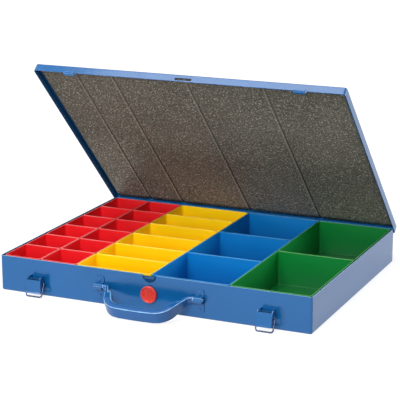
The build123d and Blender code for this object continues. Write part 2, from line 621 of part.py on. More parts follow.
# Saddle clips: strips bent over the handle's stubs and riveted to the wall above and below them
for side, clip_x in (("left", -CLIP_MID_X), ("right", CLIP_MID_X)):
    bore_r = HANDLE_STUB_R + CLIP_CLEAR
    saddle_r = bore_r + CLIP_SHEET
    with BuildPart() as clip:
        with BuildSketch(Plane.YZ.offset(clip_x - CLIP_W / 2)):
            with Locations((HANDLE_Y, HANDLE_PIVOT_Z)):
                Circle(saddle_r)
            with Locations((FRONT_Y, HANDLE_PIVOT_Z)):
                Rectangle(HANDLE_PIVOT_OUT, 2 * saddle_r, align=(Align.MAX, Align.CENTER))
            with Locations((FRONT_Y, CLIP_LOW)):
                Rectangle(CLIP_SHEET, CLIP_TOP - CLIP_LOW, align=(Align.MAX, Align.MIN))
            with Locations((HANDLE_Y, HANDLE_PIVOT_Z)):
                Circle(bore_r, mode=Mode.SUBTRACT)
            with Locations((FRONT_Y, HANDLE_PIVOT_Z)):
                Rectangle(
                    HANDLE_PIVOT_OUT, 2 * bore_r, align=(Align.MAX, Align.CENTER), mode=Mode.SUBTRACT
                )
        extrude(amount=CLIP_W)
        feet = clip.edges().filter_by(Axis.Y)
        fillet(feet.group_by(Axis.Z)[0] + feet.group_by(Axis.Z)[-1], 2.5)
        for rivet_z in CLIP_RIVET_ZS:
            cut_cylinder(clip_x, FRONT_Y, rivet_z, RIVET_R, 4 * CLIP_SHEET)
    clip.part.label = f"handle_clip_{side}"
    export_step(clip.part, f"parts/handle_clip_{side}.step")

latch_places = [(x, FRONT_Y - LATCH_SHEET, z, 1) for x in LATCH_CENTRES for z in RIVET_ZS]
latch_rivets = rivets(latch_places, LATCH_SHEET + SHEET, RIVET_TAIL_H)
latch_rivets.label = "latch_rivets"
export_step(latch_rivets, "parts/latch_rivets.step")

clip_places = [(x, FRONT_Y - CLIP_SHEET, z, 1) for x in CLIP_CENTRES for z in CLIP_RIVET_ZS]
clip_rivets = rivets(clip_places, CLIP_SHEET + SHEET, RIVET_TAIL_H)
clip_rivets.label = "clip_rivets"
export_step(clip_rivets, "parts/clip_rivets.step")

base_places = []
lid_places = []
for hinge_x in HINGE_CENTRES:
    for way in (-1, 1):
        base_places.append((hinge_x + way * BASE_RIVET_X, BACK_Y + HINGE_LEAF_T, BASE_RIVET_Z, -1))
        lid_places.append((hinge_x + way * LID_RIVET_X, LIP_BACK_Y + HINGE_LEAF_T, LID_RIVET_Z, -1))
base_rivets = rivets(base_places, HINGE_LEAF_T + SHEET, 0)
base_rivets.label = "hinge_base_rivets"
export_step(base_rivets, "parts/hinge_base_rivets.step")

lid_rivets = raised(rivets(lid_places, HINGE_LEAF_T + SHEET, 0))
lid_rivets.label = "hinge_lid_rivets"
export_step(lid_rivets, "parts/hinge_lid_rivets.step")
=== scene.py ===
# %% [markdown]
# # A compartment storage case
# The case is a painted sheet steel tray with a lid on two hinges, filled with loose plastic bins.
# The engineering model already holds every solid piece. This lesson loads it as the frame and
# gives each piece its finish. Two pieces are made afresh: a creased foam sheet takes the place of
# the plain foam slab, and one smooth moulding that of the plain handle. Then it is lit.

# %% Load the frame
import math

import bmesh
import bpy
from mathutils import Matrix, Vector


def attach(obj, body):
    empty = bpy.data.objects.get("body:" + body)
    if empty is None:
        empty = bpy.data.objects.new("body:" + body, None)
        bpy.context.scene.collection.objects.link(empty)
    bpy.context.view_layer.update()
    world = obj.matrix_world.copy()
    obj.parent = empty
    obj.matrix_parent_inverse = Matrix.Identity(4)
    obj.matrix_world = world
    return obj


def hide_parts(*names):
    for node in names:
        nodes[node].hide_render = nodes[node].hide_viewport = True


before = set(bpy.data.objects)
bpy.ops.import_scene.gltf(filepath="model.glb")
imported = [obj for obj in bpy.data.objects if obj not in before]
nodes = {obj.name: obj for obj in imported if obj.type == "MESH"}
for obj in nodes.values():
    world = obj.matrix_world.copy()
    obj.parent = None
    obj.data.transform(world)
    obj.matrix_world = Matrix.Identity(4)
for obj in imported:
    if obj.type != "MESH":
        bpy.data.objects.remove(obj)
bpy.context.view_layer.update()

# %% [markdown]
# ## Colours
# Paint and plastic chips are read off as ordinary screen colours. Blender mixes light in linear
# values, so one small helper turns a chip into what the shader wants. A kind of bin has three
# chips: one for its walls, one for the painted shade near its floor and one for the painted
# highlight on its rim.


# %% A helper for colour chips
def chip(red, green, blue):
    """A screen colour, 0 to 255 a channel, as the linear colour a shader socket takes."""

    def linear(value):
        share = value / 255
        return share / 12.92 if share <= 0.04045 else ((share + 0.055) / 1.055) ** 2.4

    return (linear(red), linear(green), linear(blue), 1.0)


CASE_BLUE = chip(14, 90, 150)
# the tray's rim: paint rubbed thin, and a painted highlight
WORN_AND_HIGHLIT_BLUE = chip(150, 190, 226)
# per kind of bin: walls, painted shade near the floor, painted highlight on the rim
BIN_COLOURS = {
    "red": (chip(240, 28, 36), chip(196, 0, 22), chip(240, 112, 112)),
    "yellow": (chip(255, 216, 0), chip(255, 152, 0), chip(255, 226, 90)),
    "blue": (chip(0, 122, 196), chip(0, 86, 158), chip(70, 158, 214)),
    "green": (chip(0, 124, 50), chip(0, 104, 44), chip(96, 176, 96)),
}
print("colours: the case's blue and", len(BIN_COLOURS), "kinds of bin")

# %% [markdown]
# ## Building a material from nodes
# A finish is never one flat colour. Every material here starts from the same few moves: a noise
# that shifts the colour a little, a second one that shifts the roughness, and a fine bump. They
# all read Object coordinates, which on these pieces are metres in the frame, so a scale of 300
# means a pattern a few millimetres across.


# %% A new material and its noise
def new_material(name):
    """An empty node material: the tree, its shader and the object coordinates to hang noise on."""
    material = bpy.data.materials.new(name)
    material.use_nodes = True
    tree = material.node_tree
    shader = tree.nodes["Principled BSDF"]
    place = tree.nodes.new("ShaderNodeTexCoord").outputs["Object"]
    return material, tree, shader, place


def noise(tree, place, scale, detail=3.0, roughness=0.5, stretch=None):
    """A noise pattern on object coordinates; stretch squeezes it along an axis."""
    pattern = tree.nodes.new("ShaderNodeTexNoise")
    pattern.inputs["Scale"].default_value = scale
    pattern.inputs["Detail"].default_value = detail
    pattern.inputs["Roughness"].default_value = roughness
    if stretch:
        mapping = tree.nodes.new("ShaderNodeMapping")
        mapping.inputs["Scale"].default_value = stretch
        tree.links.new(place, mapping.inputs["Vector"])
        place = mapping.outputs["Vector"]
    tree.links.new(place, pattern.inputs["Vector"])
    return pattern.outputs["Fac"]


print("helpers for a material and its noise ready")

# %% [markdown]
# ## Turning a pattern into a colour or a number
# A noise rarely leaves the middle of its range, so that middle is what a ramp or a Map Range node
# spreads out. The Mix node then lays one colour over another, or multiplies them.

# %% Ramps
NOISE_LOW, NOISE_HIGH = 0.3, 0.7


def ramp(tree, value, stops):
    """A colour ramp: stops are pairs of position and colour."""
    colours = tree.nodes.new("ShaderNodeValToRGB")
    elements = colours.color_ramp.elements
    while len(elements) < len(stops):
        elements.new(0.5)
    for element, (position, colour) in zip(elements, stops):
        element.position = position
        element.color = colour
    tree.links.new(value, colours.inputs["Fac"])
    return colours.outputs["Color"]


def mottled(tree, pattern, dark, light):
    """A colour that wanders with a noise pattern from a dark tone to a light one."""
    return ramp(tree, pattern, ((NOISE_LOW, dark), (NOISE_HIGH, light)))


print("ramps spread out noise from", NOISE_LOW, "to", NOISE_HIGH)


# %% Ranges and mixes
def feed(tree, socket, source):
    """Put a link, a number or a colour into a socket."""
    if isinstance(source, bpy.types.NodeSocket):
        tree.links.new(source, socket)
    else:
        socket.default_value = source


def spread(tree, value, start, end, low=0.0, high=1.0):
    """The value moved from the range start to end to the range low to high, and held inside it."""
    moved = tree.nodes.new("ShaderNodeMapRange")
    moved.inputs["From Min"].default_value = start
    moved.inputs["From Max"].default_value = end
    moved.inputs["To Min"].default_value = low
    moved.inputs["To Max"].default_value = high
    tree.links.new(value, moved.inputs["Value"])
    return moved.outputs["Result"]


def between(tree, pattern, low, high):
    """A number that wanders with a noise pattern from low to high."""
    return spread(tree, pattern, NOISE_LOW, NOISE_HIGH, low, high)


def blended(tree, share, below, over, mode="MIX"):
    """One colour, or link to a colour, laid over another by a share that is a number or a link."""
    mix = tree.nodes.new("ShaderNodeMix")
    mix.data_type = "RGBA"
    mix.blend_type = mode
    share_socket, below_socket, over_socket = mix.inputs[0], mix.inputs[6], mix.inputs[7]
    feed(tree, share_socket, share)
    feed(tree, below_socket, below)
    feed(tree, over_socket, over)
    return mix.outputs[2]


print("helpers for ranges and mixes ready")

# %% [markdown]
# ## Height, bump and tone
# Wear, painted highlights and painted shade follow height: rims are painted pale and bin floors
# painted dark. So one helper turns the height of a point into a share. Another lays a bump under
# the shader, and two more make plain tones.


# %% Height, bump and tones
def part_of(tree, vector, axis):
    """One coordinate of a vector."""
    split = tree.nodes.new("ShaderNodeSeparateXYZ")
    tree.links.new(vector, split.inputs["Vector"])
    return split.outputs[axis]


def climb(tree, place, start, end):
    """0 at the height start and 1 at the height end, which may be the lower one."""
    return spread(tree, part_of(tree, place, "Z"), start, end)


def bump(tree, shader, height, strength, distance):
    """A bump of the given depth in metres under the shader."""
    node = tree.nodes.new("ShaderNodeBump")
    node.inputs["Strength"].default_value = strength
    node.inputs["Distance"].default_value = distance
    tree.links.new(height, node.inputs["Height"])
    tree.links.new(node.outputs["Normal"], shader.inputs["Normal"])


def grey(level):
    """A grey of the given level, to multiply with or to use as a share."""
    return (level, level, level, 1.0)


def shade(colour, factor):
    """The colour made darker or lighter by a factor."""
    return tuple(min(1.0, part * factor) for part in colour[:3]) + (1.0,)


BLACK, WHITE = grey(0.0), grey(1.0)
print("helpers for height, bump and tones ready")

# %% [markdown]
# ## Enamel on sheet steel
# The tray, the lid and their fittings are pressed and sprayed with a glossy enamel. It shows very
# soft blotches of tone, fine specks and a slight orange peel. Its low roughness mirrors the white
# studio at a flat angle, which makes the lip of the lid and the top of the shut case so pale. A
# clear coat on top isn't needed for that. Along the tray's rim the paint is rubbed thin and
# painted pale as a highlight. The catch and the pins of the latches sit in narrow dark places, so
# theirs is a darker and duller copy of the enamel: painted shade.

# %% Enamel
TRAY_WORN_AND_HIGHLIT_ABOVE, WEAR_AND_HIGHLIGHT_FADE = 0.0477, 0.0003


def enamel(name, colour, worn_and_highlit_above=None, gloss=0.5):
    """Sprayed enamel that mirrors by its gloss, with paint rubbed thin and a painted highlight
    above a height.
    """
    material, tree, shader, place = new_material(name)
    blotches = noise(tree, place, scale=9.0, detail=2.0)
    tone = mottled(tree, blotches, shade(colour, 0.92), shade(colour, 1.06))
    specks = mottled(tree, noise(tree, place, scale=900.0, detail=2.0), grey(0.90), grey(1.1))
    tone = blended(tree, 0.6, tone, specks, "MULTIPLY")
    # paint rubbed thin along the tray's rim, and a painted highlight there
    if worn_and_highlit_above:
        highlit = climb(tree, place, worn_and_highlit_above, worn_and_highlit_above + WEAR_AND_HIGHLIGHT_FADE)
        tone = blended(tree, highlit, tone, WORN_AND_HIGHLIT_BLUE)
    tree.links.new(tone, shader.inputs["Base Color"])
    uneven = between(tree, noise(tree, place, scale=60.0), low=0.10, high=0.17)
    tree.links.new(uneven, shader.inputs["Roughness"])
    shader.inputs["Specular IOR Level"].default_value = gloss
    peel = noise(tree, place, scale=700.0, detail=1.0)
    bump(tree, shader, peel, strength=0.06, distance=0.0002)
    return material


def give(node_name, material):
    """Put the material on every slot of a solid piece."""
    mesh = nodes[node_name].data
    mesh.materials.clear()
    mesh.materials.append(material)


give("base_tray", enamel("tray enamel", CASE_BLUE, worn_and_highlit_above=TRAY_WORN_AND_HIGHLIT_ABOVE))
lid_enamel = enamel("lid enamel", CASE_BLUE)
give("lid_pan", lid_enamel)
print("enamel on the tray and the lid")

# %% Enamel on the fittings
# painted shade: a darker, duller copy of the enamel for the catch in its dark notch
painted_shade_enamel = enamel("painted shade enamel", shade(CASE_BLUE, 0.5), gloss=0.1)
FITTING_KINDS = ("hinge_", "latch_", "handle_clip", "clip_", "catch_")
WIRES = [name for name in nodes if "pin" in name or "bail" in name]
FITTINGS = [name for name in nodes if name.startswith(FITTING_KINDS) and name not in WIRES]
for name in FITTINGS:
    give(name, painted_shade_enamel if name.startswith("catch_") else lid_enamel)
print("enamel on", len(FITTINGS), "fittings")

# %% [markdown]
# ## Soft edges
# Nothing stamped or moulded has a knife edge, and a tiny round catches the light that tells the
# eye where the edge is. The pieces come as loose triangles, so each is welded first, its flat
# faces are joined, and it is bevelled where two faces meet at more than a set angle. The modifiers
# leave the mesh itself as the engineering model has it. Rivets are round enough without.

# %% Weld and bevel
SAME_POINT = 0.00001
FLAT_ANGLE, BEVEL_ANGLE, SPLIT_ANGLE = (math.radians(angle) for angle in (0.5, 35.0, 50.0))
SHEET_ROUND, FITTING_ROUND, BIN_ROUND = 0.0002, 0.00015, 0.0004
BEVEL_STEPS, BIG_FACES_WEIGH = 2, 80


def soften(node_name, width):
    """Round the sharp edges of a solid piece by the width, in metres."""
    piece = nodes[node_name]
    weld = piece.modifiers.new("weld", "WELD")
    weld.merge_threshold = SAME_POINT
    flat = piece.modifiers.new("flats", "DECIMATE")
    flat.decimate_type = "DISSOLVE"
    flat.angle_limit = FLAT_ANGLE
    round_off = piece.modifiers.new("round", "BEVEL")
    round_off.width = width
    round_off.segments = BEVEL_STEPS
    round_off.limit_method = "ANGLE"
    round_off.angle_limit = BEVEL_ANGLE
    for face in piece.data.polygons:
        face.use_smooth = True
    smooth = piece.modifiers.new("shade", "EDGE_SPLIT")
    smooth.split_angle = SPLIT_ANGLE
    flatter = piece.modifiers.new("flat faces", "WEIGHTED_NORMAL")
    flatter.mode = "FACE_AREA"
    flatter.weight = BIG_FACES_WEIGH
    flatter.keep_sharp = True


soften("base_tray", SHEET_ROUND)
soften("lid_pan", SHEET_ROUND)
for name in FITTINGS:
    if "rivets" not in name:
        soften(name, FITTING_ROUND)
print("edges of the sheet steel softened")

# %% [markdown]
# ## Moulded bins
# The bins are injection moulded polystyrene: bright and half gloss. Painted shade makes their
# walls deeper in colour down inside, and a painted highlight makes the rim pale. Their roughness
# wanders slowly and little, because a finer pattern shows as dark dots in the mirrored studio.

# %% Bin plastic
BIN_SHADE_FULL_BELOW, BIN_SHADE_GONE_ABOVE = 0.004, 0.040
RIM_LOW, RIM_HIGH = 0.0473, 0.0476


def bin_plastic(name, colour, painted_shade_colour, rim_highlight_colour):
    """Moulded plastic with a painted highlight on the rim and painted shade towards the floor."""
    material, tree, shader, place = new_material(name)
    # painted shade: deeper colour towards the floor of the bin
    depth = blended(tree, climb(tree, place, BIN_SHADE_FULL_BELOW, BIN_SHADE_GONE_ABOVE), painted_shade_colour, colour)
    clouds = mottled(tree, noise(tree, place, scale=14.0, detail=2.0), grey(0.94), grey(1.05))
    body = blended(tree, 1.0, depth, clouds, "MULTIPLY")
    # painted highlight: a pale rim
    tone = blended(tree, climb(tree, place, RIM_LOW, RIM_HIGH), body, rim_highlight_colour)
    tree.links.new(tone, shader.inputs["Base Color"])
    uneven = between(tree, noise(tree, place, scale=25.0, detail=1.0), low=0.31, high=0.36)
    tree.links.new(uneven, shader.inputs["Roughness"])
    skin = noise(tree, place, scale=300.0, detail=1.0)
    bump(tree, shader, skin, strength=0.05, distance=0.0001)
    return material


for colour_name, (body_colour, painted_shade_colour, rim_highlight_colour) in BIN_COLOURS.items():
    plastic = bin_plastic(f"{colour_name} bin plastic", body_colour, painted_shade_colour, rim_highlight_colour)
    for node_name in nodes:
        if node_name.startswith(f"insert_{colour_name}"):
            give(node_name, plastic)
            soften(node_name, BIN_ROUND)
    print("bins in", colour_name)

# %% [markdown]
# ## Bright wire and pins
# The two wire bails and the hinges' pins stay unpainted. They are zinc plated and blued by the
# passivation bath: metallic, darker than chrome, with fine drawing scratches along the wire,
# which come from a noise that is stretched along the height. The latches' pins sit deep in their
# brackets and look almost black, so they take the darker enamel of painted shade.


# %% Zinc plate
def zinc(name, tone):
    """Zinc plated steel: blotchy roughness and fine scratches."""
    material, tree, shader, place = new_material(name)
    shader.inputs["Metallic"].default_value = 1.0
    grain = noise(tree, place, scale=160.0, detail=4.0, roughness=0.6, stretch=(1.0, 1.0, 0.15))
    tree.links.new(mottled(tree, grain, shade(tone, 0.6), tone), shader.inputs["Base Color"])
    uneven = between(tree, noise(tree, place, scale=220.0), low=0.22, high=0.42)
    tree.links.new(uneven, shader.inputs["Roughness"])
    bump(tree, shader, grain, strength=0.15, distance=0.0001)
    return material


plated = zinc("blued zinc plate", chip(78, 92, 128))
for name in WIRES:
    # the latches' pins take the enamel of painted shade
    give(name, painted_shade_enamel if name.startswith("latch_pin") else plated)
print("wires and pins:", len(WIRES))

# %% [markdown]
# ## Handle and button
# Both are moulded plastic with a fine spark-eroded grain; the handle matches the case, the
# button is a warm red so that the hand finds it.


# %% Grained plastic
def grained(name, colour, roughness):
    """Moulded plastic with a fine leather-like grain."""
    material, tree, shader, place = new_material(name)
    clouds = noise(tree, place, scale=30.0, detail=2.0)
    tone = mottled(tree, clouds, shade(colour, 0.92), shade(colour, 1.05))
    tree.links.new(tone, shader.inputs["Base Color"])
    patches = noise(tree, place, scale=300.0)
    uneven = between(tree, patches, low=roughness - 0.05, high=roughness + 0.08)
    tree.links.new(uneven, shader.inputs["Roughness"])
    shader.inputs["Specular IOR Level"].default_value = 0.5
    leather = noise(tree, place, scale=1500.0, detail=2.0)
    bump(tree, shader, leather, strength=0.2, distance=0.0001)
    return material


handle_plastic = grained("handle plastic", chip(8, 88, 154), roughness=0.18)
button_plastic = grained("button plastic", chip(216, 60, 46), roughness=0.28)
give("handle", handle_plastic)
give("push_button", button_plastic)
print("handle and button in colour")

# %% [markdown]
# ## A painted highlight on the handle's edges
# A painted highlight runs as a pale line along the handle's upper edge. It lies where the surface
# turns over from the side to the top, so the material reads the direction that the surface faces.
# In the frame the handle dips, so the direction is turned level first. Then its height says how
# far the surface has turned: a ramp picks the slopes between the side, which faces sideways, and
# the top, which faces straight up.

# %% Painted edge highlight
HANDLE_DIP = math.radians(23.0)
HIGHLIGHT_SLOPES = ((0.30, BLACK), (0.50, WHITE), (0.80, WHITE), (0.96, BLACK))


def paint_edge_highlight(material, dip, highlight_colour):
    """A painted highlight where the upper edges turn over, on a piece that dips by an angle."""
    tree = material.node_tree
    base_colour = tree.nodes["Principled BSDF"].inputs["Base Color"]
    facing = tree.nodes.new("ShaderNodeTexCoord").outputs["Normal"]
    level = tree.nodes.new("ShaderNodeVectorRotate")
    level.rotation_type = "X_AXIS"
    level.inputs["Angle"].default_value = -dip
    tree.links.new(facing, level.inputs["Vector"])
    highlit = ramp(tree, part_of(tree, level.outputs["Vector"], "Z"), HIGHLIGHT_SLOPES)
    plain = base_colour.links[0].from_socket
    tree.links.new(blended(tree, highlit, plain, highlight_colour), base_colour)


# painted highlight along the handle's upper edges
paint_edge_highlight(handle_plastic, HANDLE_DIP, chip(140, 190, 230))
print("handle's edges rubbed")

# %% [markdown]
# ## A rounder handle
# The real handle is one moulding: a strap that swells into a rounded grip. The engineering model
# has the strap. A copy of it gets a pad along the inside of the grip, drawn out of one oval ring:
# extruded along the grip, spun round the corner, extruded up the leg and mirrored. A voxel remesh
# grows strap and pad into one skin, and smoothing melts its edges, as a bevel alone could not.

# %% A ring drawn out
PAD_REACH, PAD_DEPTH, PAD_HEIGHT = 0.0387, 0.0046, 0.0085
PAD_SQUARENESS = 0.6
RING_CORNERS, BEND_STEPS = 24, 12
CORNER_CENTRE = Vector((0.0241, -0.0181, 0.0))
CORNER_TURN = math.radians(62.9)
ALONG_GRIP = Vector((0.0262, 0.0006, 0.0))
UP_LEG = Vector((0.0037, 0.0093, 0.0))


def oval_ring(mesh):
    """The edges of the pad's oval section at the middle of the grip, squarer than an ellipse."""
    circle = bmesh.ops.create_circle(mesh, cap_ends=False, radius=1.0, segments=RING_CORNERS)
    for corner in circle["verts"]:
        deep, high = (math.copysign(abs(part) ** PAD_SQUARENESS, part) for part in corner.co.xy)
        corner.co = Vector((0.0, PAD_DEPTH * deep - PAD_REACH, PAD_HEIGHT * high))
    return mesh.edges[:]


def drawn_out(mesh, edges, step, narrower=1.0):
    """Extrude a ring of edges by a step and return the new ring, which may be narrower."""
    grown = bmesh.ops.extrude_edge_only(mesh, edges=edges)["geom"]
    corners = [item for item in grown if isinstance(item, bmesh.types.BMVert)]
    bmesh.ops.translate(mesh, verts=corners, vec=step)
    middle = sum((corner.co for corner in corners), Vector()) / len(corners)
    to_middle, back = Matrix.Translation(-middle), Matrix.Translation(middle)
    shrink = back @ Matrix.Scale(narrower, 4) @ to_middle
    bmesh.ops.transform(mesh, matrix=shrink, verts=corners)
    new = set(corners)
    rings = [item for item in grown if isinstance(item, bmesh.types.BMEdge)]
    return [edge for edge in rings if new.issuperset(edge.verts)]


print("grip", round(2000 * ALONG_GRIP.x), "mm long between its corners")


# %% Grip pad
def grip_pad():
    """The pad on the inside of the grip, in the handle's own plane, pivot at the origin."""
    mesh = bmesh.new()
    edges = drawn_out(mesh, oval_ring(mesh), ALONG_GRIP)
    turned = bmesh.ops.spin(
        mesh, geom=edges, cent=CORNER_CENTRE, axis=(0, 0, 1), dvec=(0, 0, 0),
        angle=CORNER_TURN, steps=BEND_STEPS,
    )
    edges = [item for item in turned["geom_last"] if isinstance(item, bmesh.types.BMEdge)]
    edges = drawn_out(mesh, edges, UP_LEG, narrower=0.75)
    drawn_out(mesh, edges, UP_LEG, narrower=0.4)
    everything = mesh.verts[:] + mesh.edges[:] + mesh.faces[:]
    middle = Matrix.Identity(4)
    bmesh.ops.mirror(mesh, geom=everything, matrix=middle, merge_dist=SAME_POINT, axis="X")
    bmesh.ops.holes_fill(mesh, edges=[edge for edge in mesh.edges if edge.is_boundary])
    bmesh.ops.recalc_face_normals(mesh, faces=mesh.faces[:])
    return mesh


moulding = grip_pad()
print("grip pad:", len(moulding.faces), "faces")

# %% Handle moulding
HANDLE_PIVOT = Vector((0.0, -0.170, 0.0255))
dipped = Matrix.Translation(HANDLE_PIVOT) @ Matrix.Rotation(HANDLE_DIP, 4, "X")
bmesh.ops.transform(moulding, matrix=dipped, verts=moulding.verts[:])
moulding.from_mesh(nodes["handle"].data)
bmesh.ops.remove_doubles(moulding, verts=moulding.verts[:], dist=SAME_POINT)
moulding_data = bpy.data.meshes.new("carrying_handle")
moulding.to_mesh(moulding_data)
moulding.free()
moulding_data.materials.clear()
moulding_data.materials.append(handle_plastic)
carrying_handle = bpy.data.objects.new("carrying_handle", moulding_data)
bpy.context.scene.collection.objects.link(carrying_handle)
print("strap and pad:", len(moulding_data.polygons), "faces before their skin")

# %% Skin of the handle
SKIN_CELL = 0.0007
MELT_FACTOR, MELT_ROUNDS = 0.5, 20
even_skin = carrying_handle.modifiers.new("even skin", "REMESH")
even_skin.mode = "VOXEL"
even_skin.voxel_size = SKIN_CELL
even_skin.use_smooth_shade = True
melted = carrying_handle.modifiers.new("melted", "SMOOTH")
melted.factor = MELT_FACTOR
melted.iterations = MELT_ROUNDS
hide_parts("handle")
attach(carrying_handle, "handle")
print("handle skinned in cells of", SKIN_CELL * 1000, "mm")

# %% [markdown]
# ## Foam lining
# The lid is lined with a sheet of grey-brown polyether foam a few millimetres thick. Where the
# long bin walls press into it there are straight grooves from front to back. The sheet is made
# flat in the closed lid. It starts as a grid, which is cut again beside each groove, so that the
# crease has points to bend at. Its rim is pulled up into walls, and the back is closed.

# %% Foam grid
FOAM_LEFT, FOAM_RIGHT = -0.216, 0.216
FOAM_FRONT, FOAM_BACK = -0.1602, 0.1632
FOAM_LOW, FOAM_TOP = 0.0478, 0.0510
FOAM_CELL, ROW_CELLS = 0.0036, 3
GROOVES = (-0.162, -0.108, 0.0, 0.108)
CUTS_BESIDE = (-0.003, -0.0015, 0.0, 0.0015, 0.003)
CUT_SLACK = 0.00005


def foam_grid():
    """The underside of the foam: a flat grid, cut again beside each groove."""
    mesh = bmesh.new()
    columns = int((FOAM_RIGHT - FOAM_LEFT) / FOAM_CELL)
    rows = int((FOAM_BACK - FOAM_FRONT) / (ROW_CELLS * FOAM_CELL))
    bmesh.ops.create_grid(mesh, x_segments=columns, y_segments=rows, size=0.5)
    for vertex in mesh.verts:
        vertex.co.x = FOAM_LEFT + (vertex.co.x + 0.5) * (FOAM_RIGHT - FOAM_LEFT)
        vertex.co.y = FOAM_FRONT + (vertex.co.y + 0.5) * (FOAM_BACK - FOAM_FRONT)
        vertex.co.z = FOAM_LOW
    for groove in GROOVES:
        for side in CUTS_BESIDE:
            geometry = mesh.verts[:] + mesh.edges[:] + mesh.faces[:]
            cut = Vector((groove + side, 0, 0))
            bmesh.ops.bisect_plane(
                mesh, geom=geometry, dist=CUT_SLACK, plane_co=cut, plane_no=(1, 0, 0)
            )
    return mesh


foam_mesh = foam_grid()
print("foam grid:", len(foam_mesh.faces), "faces")


# %% Foam walls and back
def close_slab(mesh):
    """Pull the rim of the grid up into walls and close the back of the sheet."""
    rim = [edge for edge in mesh.edges if edge.is_boundary]
    walls = bmesh.ops.extrude_edge_only(mesh, edges=rim)
    for item in walls["geom"]:
        if isinstance(item, bmesh.types.BMVert):
            item.co.z = FOAM_TOP
    bmesh.ops.holes_fill(mesh, edges=[edge for edge in mesh.edges if edge.is_boundary])


close_slab(foam_mesh)
print("foam slab:", len(foam_mesh.faces), "faces")

# %% [markdown]
# ## Creases and a soft rim
# Foam doesn't fold sharply. Each groove is a narrow crease in a wide shallow hollow, both of them
# bell shaped, and the deeper one counts. The rim is rounded by lifting the points near it. Then
# the sheet is turned up with the lid, because the frame shows the lid half open.

# %% Creased foam
CREASE_DEPTH, CREASE_WIDTH = 0.0020, 0.0015
HOLLOW_DEPTH, HOLLOW_WIDTH = 0.0005, 0.005
RIM_LIFT, RIM_WIDTH = 0.0012, 0.003
UNDERSIDE_BELOW = FOAM_TOP - 0.0001


def crease(x):
    """How far the foam is pressed up at x by the bin walls, in metres."""
    depth = 0.0
    for groove in GROOVES:
        depth = max(depth, CREASE_DEPTH * math.exp(-(((x - groove) / CREASE_WIDTH) ** 2)))
        depth = max(depth, HOLLOW_DEPTH * math.exp(-(((x - groove) / HOLLOW_WIDTH) ** 2)))
    return depth


def press(mesh):
    """Press the grooves into the underside and round its rim."""
    for vertex in mesh.verts:
        if vertex.co.z < UNDERSIDE_BELOW:
            vertex.co.z += crease(vertex.co.x)
            edge_x = min(vertex.co.x - FOAM_LEFT, FOAM_RIGHT - vertex.co.x)
            edge_y = min(vertex.co.y - FOAM_FRONT, FOAM_BACK - vertex.co.y)
            near = min(edge_x, edge_y)
            if near < RIM_WIDTH:
                vertex.co.z += RIM_LIFT * (1 - near / RIM_WIDTH) ** 2
    bmesh.ops.recalc_face_normals(mesh, faces=mesh.faces[:])


press(foam_mesh)
print("creases", CREASE_DEPTH * 1000, "mm deep")

# %% Foam sheet
HINGE_LINE = Vector((0.0, 0.1675, 0.0383))
LID_OPEN = math.radians(45.7)
to_hinge, from_hinge = Matrix.Translation(-HINGE_LINE), Matrix.Translation(HINGE_LINE)
turned_up = from_hinge @ Matrix.Rotation(-LID_OPEN, 4, "X") @ to_hinge
bmesh.ops.transform(foam_mesh, matrix=turned_up, verts=foam_mesh.verts[:])
foam_data = bpy.data.meshes.new("foam_sheet")
foam_mesh.to_mesh(foam_data)
foam_mesh.free()
for face in foam_data.polygons:
    face.use_smooth = True
foam = bpy.data.objects.new("foam_sheet", foam_data)
bpy.context.scene.collection.objects.link(foam)
print("foam sheet turned up by", round(math.degrees(LID_OPEN), 1), "degrees")

# %% [markdown]
# ## Foam finish
# Open-cell foam is matt and speckled: dark pores, and pale glints painted where the cut cell walls
# would face the light. Down in a groove the foam is painted darker as shade, less so higher up the
# lid, and the side of the groove that faces the light gets a painted highlight. Near the hinge the
# foam is painted lighter: painted light. All of this follows straight lines, so Math nodes measure
# how far a point lies from the nearest groove.


# %% Distance from the grooves
def calculated(tree, operation, *values):
    """The result of a Math node on links and numbers."""
    step = tree.nodes.new("ShaderNodeMath")
    step.operation = operation
    for socket, value in zip(step.inputs, values):
        feed(tree, socket, value)
    return step.outputs[0]


def beside_line(tree, place, shift, near, far):
    """0 up to near from the grooves' lines, moved sideways by shift, and 1 from far on."""
    across = part_of(tree, place, "X")
    nearest = None
    for groove in GROOVES:
        away = calculated(tree, "ABSOLUTE", calculated(tree, "SUBTRACT", across, groove + shift))
        nearest = away if nearest is None else calculated(tree, "MINIMUM", nearest, away)
    return spread(tree, nearest, near, far)


print("grooves at", GROOVES)

# %% Foam material
LIT_SIDE = -0.0024
LIT_NEAR, LIT_FAR = 0.0004, 0.0012
GROOVE_NEAR, GROOVE_FAR = 0.0004, 0.0014
GROOVE_SHADE_FADES_FROM, GROOVE_SHADE_GONE_AT = 0.12, 0.26
HINGE_LIGHT_FULL_BELOW, HINGE_LIGHT_GONE_ABOVE = 0.05, 0.17
HINGE_LIGHT = (1.72, 1.78, 1.80, 1.0)


